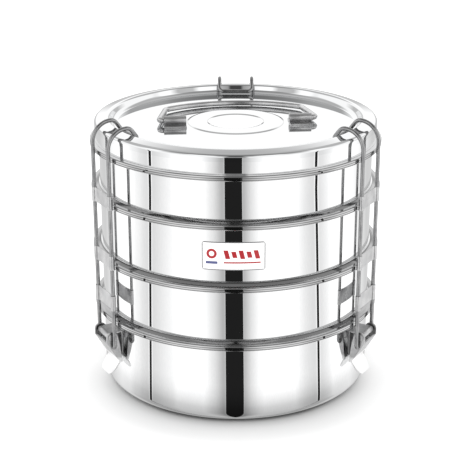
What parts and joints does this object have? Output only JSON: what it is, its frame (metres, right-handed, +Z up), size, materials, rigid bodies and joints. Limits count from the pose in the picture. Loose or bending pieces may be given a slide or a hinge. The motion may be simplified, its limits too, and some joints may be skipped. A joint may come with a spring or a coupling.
{
  "type": "tiffin carrier",
  "caption": "Round stainless steel tiffin carrier: nested food containers stacked under a rimmed lid with a folding handle, held together by wire clips with over-centre latches.",
  "frame": {"origin": "centre of the bottom container's base, on the surface it stands on", "axes": "+Z up; -Y the front, where the label is; +X to the right seen from the front; one wire clip is at the back on +Y and one each side of the front"},
  "size_m": [0.18, 0.1858, 0.1734],
  "materials": {
    "polished_steel": "mirror polished stainless steel with faint wiping marks",
    "pressed_steel": "satin pressed stainless sheet",
    "wire_steel": "bright drawn stainless wire",
    "label": null
  },
  "bodies": {
    "stack": {"container_bottom": "polished_steel", "container_lower": "polished_steel", "container_upper": "polished_steel", "container_top": "polished_steel", "lid": "polished_steel", "label": "label", "handle_bracket_left": "pressed_steel", "handle_bracket_right": "pressed_steel", "latch_bracket_left": "pressed_steel", "latch_bracket_right": "pressed_steel", "latch_bracket_back": "pressed_steel", "pivot_pin_left": "pressed_steel", "pivot_pin_right": "pressed_steel", "pivot_pin_back": "pressed_steel"},
    "carry_handle": {"handle": "wire_steel"},
    "lever_left": {"latch_lever_left": "pressed_steel"},
    "clip_left": {"wire_clip_left": "wire_steel", "strap_plate_upper_left": "pressed_steel", "strap_plate_middle_left": "pressed_steel", "strap_plate_lower_left": "pressed_steel"},
    "lever_right": {"latch_lever_right": "pressed_steel"},
    "clip_right": {"wire_clip_right": "wire_steel", "strap_plate_upper_right": "pressed_steel", "strap_plate_middle_right": "pressed_steel", "strap_plate_lower_right": "pressed_steel"},
    "lever_back": {"latch_lever_back": "pressed_steel"},
    "clip_back": {"wire_clip_back": "wire_steel", "strap_plate_upper_back": "pressed_steel", "strap_plate_middle_back": "pressed_steel", "strap_plate_lower_back": "pressed_steel"}
  },
  "joints": [
    {"name": "handle_hinge", "type": "hinge", "parent": "stack", "child": "carry_handle", "pos_m": [0.00135, -0.00505, 0.1664], "axis": [0.996, 0.0889, 0], "range_deg": [0, 182]},
    {"name": "left_latch_open", "type": "hinge", "parent": "stack", "child": "lever_left", "pos_m": [-0.08018, -0.04629, 0.0418], "axis": [-0.5, 0.866, 0], "range_deg": [0, 104]},
    {"name": "left_wire_swing", "type": "hinge", "parent": "lever_left", "child": "clip_left", "pos_m": [-0.07916, -0.0457, 0.0351], "axis": [-0.5, 0.866, 0], "range_deg": [-100, 0]},
    {"name": "right_latch_open", "type": "hinge", "parent": "stack", "child": "lever_right", "pos_m": [0.08018, -0.04629, 0.0418], "axis": [-0.5, -0.866, 0], "range_deg": [0, 104]},
    {"name": "right_wire_swing", "type": "hinge", "parent": "lever_right", "child": "clip_right", "pos_m": [0.07916, -0.0457, 0.0351], "axis": [-0.5, -0.866, 0], "range_deg": [-100, 0]},
    {"name": "back_latch_open", "type": "hinge", "parent": "stack", "child": "lever_back", "pos_m": [0, 0.09258, 0.0418], "axis": [1, 0, 0], "range_deg": [0, 104]},
    {"name": "back_wire_swing", "type": "hinge", "parent": "lever_back", "child": "clip_back", "pos_m": [0, 0.0914, 0.0351], "axis": [1, 0, 0], "range_deg": [-100, 0]}
  ],
  "couplings": [
    {"joint": "left_wire_swing", "follows": "left_latch_open", "ratio": -0.96},
    {"joint": "right_wire_swing", "follows": "right_latch_open", "ratio": -0.96},
    {"joint": "back_wire_swing", "follows": "back_latch_open", "ratio": -0.96}
  ]
}
